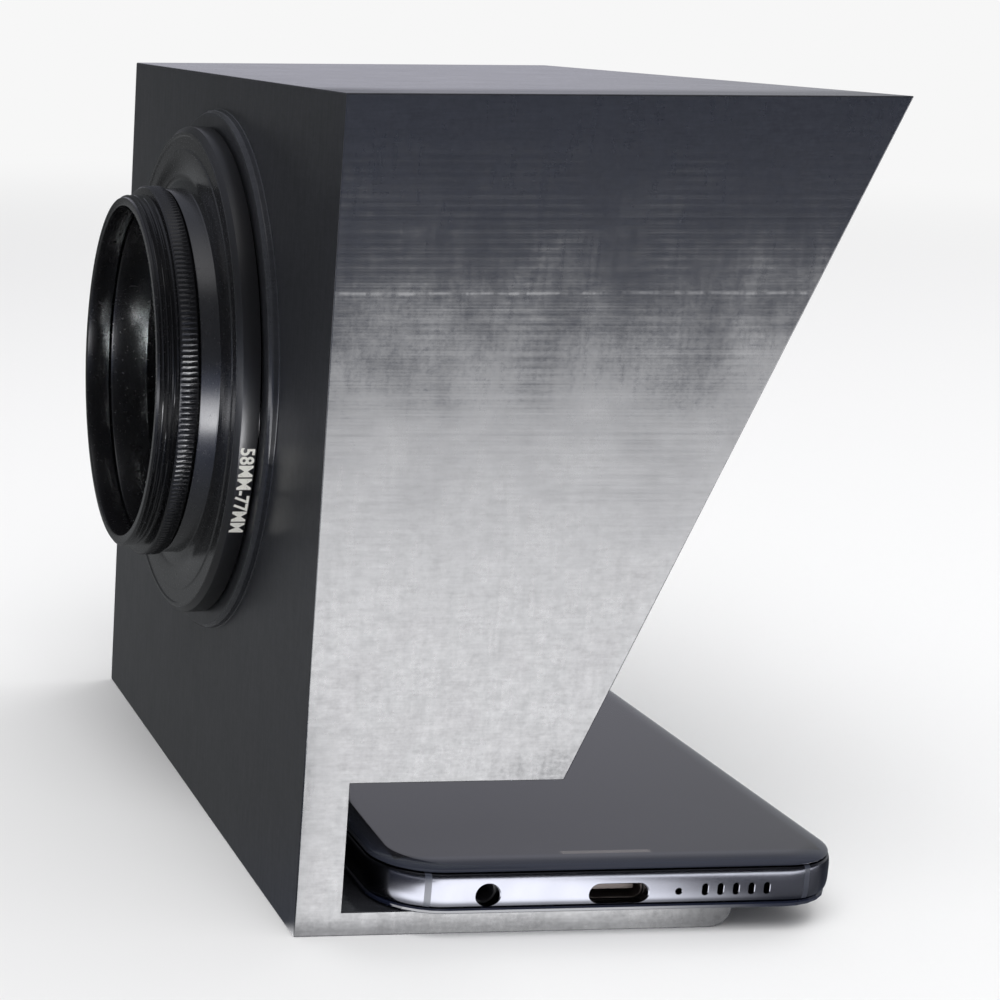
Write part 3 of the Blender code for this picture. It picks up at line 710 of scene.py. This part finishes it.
def mouth(u, w, half_u, half_w, radius, flare=0.14, n=8, depth=2.0):
    """A cutter along the phone's length with a small chamfer at the surface of the near end."""
    loops = []
    for v, grow in ((-HALF_V - 1.0, flare), (-HALF_V + 0.02, flare), (-HALF_V + 0.02 + flare, 0.0), (-HALF_V + depth, 0.0)):
        loop = rounded(half_u + grow, half_w + grow, radius + grow, n)
        loops.append(np.column_stack([loop[:, 0] + u, np.full(len(loop), v), loop[:, 1] + w]) + PHONE_AT)
    return stack("mouth", loops, None)


def side_block(u, v, w):
    bm = bmesh.new()
    lo = (np.array([u[0], v[0], w[0]]) + PHONE_AT) * MM
    hi = (np.array([u[1], v[1], w[1]]) + PHONE_AT) * MM
    bmesh.ops.create_cube(bm, size=1.0, matrix=Matrix.Translation((lo + hi) / 2) @ Matrix.Diagonal((*(hi - lo), 1)))
    bmesh.ops.bevel(bm, geom=bm.edges[:], offset=0.15 * MM, segments=2, affect="EDGES")
    mesh = bpy.data.meshes.new("block")
    bm.to_mesh(mesh)
    bm.free()
    o = bpy.data.objects.new("block", mesh)
    scene.collection.objects.link(o)
    return o


tools = [
    mouth(0.0, 2.8, 4.45, 1.55, 1.54, n=10), mouth(-19.7, 2.95, 1.8, 1.8, 1.799, n=12), mouth(9.0, 3.0, 0.5, 0.5, 0.499, 0.06, 6),
]
tools += [mouth(13.0 + 2.35 * i, 3.2, 0.45, 0.9, 0.449, 0.07, 6) for i in range(5)]
for v, length in ((14.0, 10.4), (38.0, 20.4)):
    tools.append(side_block((33.0, 37.0), (v - length / 2 - 0.3, v + length / 2 + 0.3), (3.65 - 1.1, 3.65 + 1.1)))
tools.append(side_block((-17.5 - 7.55, -17.5 + 7.55), (72.0, 76.0), (3.4 - 1.4, 3.4 + 1.4)))
cut(band, joined("mouths", tools))


def settle_band(obj):
    """True normals for the swept outside, so the cuts leave no shading marks."""
    mesh = obj.data
    mesh.shade_smooth()
    mesh.set_sharp_from_angle(angle=math.radians(28))
    mesh.update()
    co = np.array([v.co for v in mesh.vertices]) / MM - PHONE_AT
    ws = np.array([p[1] for p in outer])
    ins = np.array([p[0] for p in outer])
    slope = np.gradient(ins, ws)
    want = []
    for p in mesh.polygons:
        pn = np.array(p.normal)
        for li in p.loop_indices:
            vi = mesh.loops[li].vertex_index
            u, v, w = co[vi]
            cu, cv = HALF_U - CORNER, HALF_V - CORNER
            du, dv = max(abs(u) - cu, 0.0), max(abs(v) - cv, 0.0)
            d = math.hypot(du, dv)
            inset = CORNER - d
            near = abs(inset - np.interp(w, ws, ins)) < 0.03 and 1.0 <= w <= 6.3
            if near and d > 0:
                lean = np.interp(w, ws, slope)
                out = np.array([math.copysign(du, u) / d, math.copysign(dv, v) / d, lean])
                out /= np.linalg.norm(out)
                if out @ pn > 0.9:
                    want.append(tuple(out))
                    continue
            want.append((0.0, 0.0, 0.0))
    mesh.normals_split_custom_set(want)


settle_band(band)
give(band, METAL, "phone", "phone_metal", "phone_frame")

curved = [(0.35 + 3.6 * (1 - math.cos(math.radians(a))), 6.6 + 0.8 * math.sin(math.radians(a))) for a in range(0, 91, 5)]
cover = slab("phone_cover_glass", HALF_U, HALF_V, CORNER, [(0.6, 6.5), (0.42, 6.52)] + curved, n=32)
loops = []
for w in (6.0, 8.0):
    loop = rounded(4.5, 0.5, 0.499, 8)
    loops.append(np.column_stack([loop[:, 0], loop[:, 1] + 71.2, np.full(len(loop), w)]) + PHONE_AT)
cut(cover, stack("earpiece_slot", loops, None))
cover.data.set_sharp_from_angle(angle=math.radians(35))
give(cover, FRONT, "phone", "phone_glass", "phone_front_glass")

cad_looks = {
    "phone_back_glass": (BACK, "phone_glass"), "phone_display_panel": (PANEL, "display"),
    "phone_battery": (POUCH, "battery_pouch"), "phone_ribbon_cable": (RIBBON, "ribbon"),
    "phone_main_board": (BOARD, "circuit_board"), "phone_sub_board": (BOARD, "circuit_board"),
    # the USB shell takes the dark painted-shade colour rather than plated steel
    "phone_usb_port": (PORT_SHADED, "plated_steel"), "phone_headphone_jack": (PLASTIC, "black_plastic"),
    "phone_loudspeaker": (PLASTIC, "black_plastic"), "phone_vibration_motor": (STEEL, "plated_steel"),
    "phone_earpiece": (PLASTIC, "black_plastic"), "phone_front_camera": (LENS, "lens_black"),
    "phone_rear_camera_module": (LENS, "lens_black"), "phone_rear_camera_cover": (LENS, "lens_black"),
    "phone_flash_window": (CREAM, "flash_diffuser"), "phone_fingerprint_sensor": (PLASTIC, "black_plastic"),
    "phone_power_button": (METAL, "phone_metal"), "phone_volume_rocker": (METAL, "phone_metal"),
    "phone_sim_tray": (METAL, "phone_metal"), "phone_sim_card": (CARD, "card_plastic"),
}
for i in range(1, 6):
    cad_looks[f"phone_board_screw_{i}"] = (STEEL, "plated_steel")
for name, (look, slot) in cad_looks.items():
    nodes[name].data.materials.clear()
    nodes[name].data.materials.append(look)

# ================================================================ stage
BACKDROP = (0.93, 0.93, 0.93)


def floor_material():
    g = Shader("floor")
    x, y, z = g.split(g.vec("SCALE", g.node("ShaderNodeTexCoord").outputs["Object"], scale=1.0))
    away = g.vec("LENGTH", g.join(x, y, 0.0))
    rays = g.node("ShaderNodeLightPath")
    # what cameras and matt surfaces see: a pale sheet that runs into the backdrop
    matt = g.node("ShaderNodeBsdfDiffuse")
    g.put(matt.inputs["Color"], (0.82, 0.82, 0.82))
    haze = g.node("ShaderNodeEmission")
    g.put(haze.inputs["Color"], BACKDROP)
    sheet = g.node("ShaderNodeMixShader")
    g.put(sheet.inputs[0], g.mul(g.smooth(away, 0.45, 1.6), rays.outputs["Is Camera Ray"]))
    g.tree.links.new(matt.outputs[0], sheet.inputs[1])
    g.tree.links.new(haze.outputs[0], sheet.inputs[2])
    # what polished surfaces see: a bright card in front, dim elsewhere
    ramp = g.total(g.smooth(y, -0.97, -0.60, 0.0, 0.27), g.smooth(y, -0.675, -0.555, 0.0, 0.32), g.smooth(y, -0.56, -0.20, 0.0, 0.41))
    front = g.mul(ramp, g.smooth(y, -0.068, -0.060, 1.0, 0.0))
    edge = g.sub(-0.033, g.mul(g.math("MINIMUM", g.add(y, 0.0665), 0.0), 0.307))   # line of sight past the back corner
    side = g.smooth(g.sub(x, edge), -0.006, 0.002)
    wide = g.smooth(g.sub(x, edge), -0.085, -0.035, 0.30, 1.0)
    side = g.math("MAXIMUM", side, g.mul(wide, g.smooth(y, -0.19, -0.15, 1.0, 0.0)))
    bright = g.mul(front, side)
    tip = g.mul(g.smooth(x, 0.016, 0.044), g.smooth(y, -0.150, -0.120))
    bright = g.mul(bright, g.sub(1.0, g.mul(tip, 0.96)))
    bright = g.mul(bright, g.smooth(y, -0.076, -0.068, 1.0, 0.45))
    # the card faces shallow rays, so steep views don't burn out
    steep = g.split(g.node("ShaderNodeNewGeometry").outputs["Incoming"])[2]
    bright = g.mul(bright, g.smooth(steep, 0.52, 0.76, 1.0, 0.30))
    # behind: lines of sight by way of the back wall fan out from its mirrored station
    fan = g.math("DIVIDE", g.sub(0.06295, x), g.math("MAXIMUM", g.add(y, 0.3793), 0.05))
    behind = g.linear(y, 0.0, 0.35, 0.16, 0.23)
    behind = g.mul(behind, g.sub(1.0, g.mul(g.smooth(fan, 0.235, 0.275), g.smooth(y, 0.25, 0.7, 0.0, 0.96))))
    behind = g.lerp(g.smooth(x, -0.03, 0.05), behind, 0.7)
    behind = g.mul(behind, g.sub(1.0, g.mul(g.smooth(y, -0.02, 0.05, 0.9, 0.0), g.smooth(x, 0.0, 0.03))))
    dim = g.mix(g.smooth(y, -0.2, 0.0), (0.115, 0.15, 0.285), g.tint((0.94, 0.97, 1.0), behind))
    tone = g.mix(bright, dim, (10.5, 10.5, 10.7))
    card = g.node("ShaderNodeEmission")
    g.put(card.inputs["Color"], tone)
    whole = g.node("ShaderNodeMixShader")
    g.put(whole.inputs[0], rays.outputs["Is Glossy Ray"])
    g.tree.links.new(sheet.outputs[0], whole.inputs[1])
    g.tree.links.new(card.outputs[0], whole.inputs[2])
    out = g.node("ShaderNodeOutputMaterial")
    g.tree.links.new(whole.outputs[0], out.inputs["Surface"])
    g.material.cycles.emission_sampling = "NONE"
    return g.material


ring_points = [(6 * math.cos(2 * math.pi * i / 64), 6 * math.sin(2 * math.pi * i / 64), 0.0) for i in range(64)]
floor = make("floor", ring_points, [tuple(range(64))], None)
floor.data.materials.append(floor_material())

world = bpy.data.worlds.new("studio")
scene.world = world
world.use_nodes = True
g = Shader(tree=world.node_tree)
dx, dy, dz = g.split(g.node("ShaderNodeTexCoord").outputs["Generated"])
backness = g.smooth(dy, -0.35, 0.45)
up = g.smooth(dz, 0.30, 0.60)
front_sky = g.mix(g.smooth(dz, 0.06, 0.20), (0.12, 0.15, 0.25), (0.065, 0.069, 0.080))
front_sky = g.mix(g.smooth(dz, 0.80, 0.95), front_sky, (0.50, 0.50, 0.52))
low = g.mix(g.smooth(dx, -0.05, 0.20), (0.09, 0.095, 0.10), (0.53, 0.53, 0.60))
low = g.mix(g.smooth(dx, 0.35, 0.55), low, (0.46, 0.47, 0.49))
back_sky = g.mix(up, low, (0.22, 0.23, 0.27))
gloss = g.mix(backness, front_sky, back_sky)
rays = g.node("ShaderNodeLightPath")
tone = g.mix(rays.outputs["Is Glossy Ray"], (0.62, 0.62, 0.63), gloss)
tone = g.mix(rays.outputs["Is Camera Ray"], tone, BACKDROP)
bg = g.node("ShaderNodeBackground")
g.put(bg.inputs["Color"], tone)
out = g.node("ShaderNodeOutputWorld")
g.tree.links.new(bg.outputs[0], out.inputs["Surface"])


def softbox(name, at, target, size, watts, colour=(1, 1, 1)):
    data = bpy.data.lights.new(name, "AREA")
    data.shape, data.size, data.size_y = "RECTANGLE", size[0], size[1]
    data.energy, data.color = watts, colour
    o = bpy.data.objects.new(name, data)
    o.location = at
    o.rotation_mode = "QUATERNION"
    o.rotation_quaternion = (Vector(target) - Vector(at)).to_track_quat("-Z", "Y")
    scene.collection.objects.link(o)
    o.visible_camera = False
    o.visible_glossy = False
    return o


softbox("key", (-0.35, -0.75, 1.35), (0, 0, 0.05), (1.1, 1.1), 16.0)
softbox("fill", (0.9, 0.5, 1.1), (0, 0, 0.05), (0.9, 0.9), 5.0)

scene.view_settings.view_transform = "Standard"
scene.view_settings.look = "None"
scene.view_settings.exposure = 0.0

camera_data = bpy.data.cameras.new("camera")
camera_data.sensor_width = 36.0
camera_data.lens = 84.113
camera_data.clip_start, camera_data.clip_end = 0.01, 20.0
camera = bpy.data.objects.new("camera", camera_data)
camera.rotation_mode = "QUATERNION"
camera.matrix_world = Matrix((
    (0.99671108, 0.01140899, -0.08023007, -0.12935),
    (-0.08056712, 0.24599388, -0.96591715, -0.37928),
    (0.00871597, 0.96920423, 0.24610401, 0.13410),
    (0, 0, 0, 1),
))
scene.collection.objects.link(camera)
scene.camera = camera


def shift_at_home(path, value):
    """The object stands off the lens axis at this station, so the lens is shifted there, and only there."""
    home = camera.matrix_world.translation.x
    curve = camera_data.driver_add(path)
    curve.driver.type = "SUM"
    for i in range(5):          # five times the camera's x: a curve's keys have to stand well apart
        read = curve.driver.variables.new()
        read.type = "TRANSFORMS"
        read.targets[0].id = camera
        read.targets[0].transform_type, read.targets[0].transform_space = "LOC_X", "WORLD_SPACE"
    for m in list(curve.modifiers):
        curve.modifiers.remove(m)
    for at in ((5 * home - 0.05, 0.0), (5 * home, value), (5 * home + 0.05, 0.0)):
        curve.keyframe_points.insert(*at).interpolation = "LINEAR"
    curve.update()


shift_at_home("shift_x", 0.68001)
shift_at_home("shift_y", 0.08358)
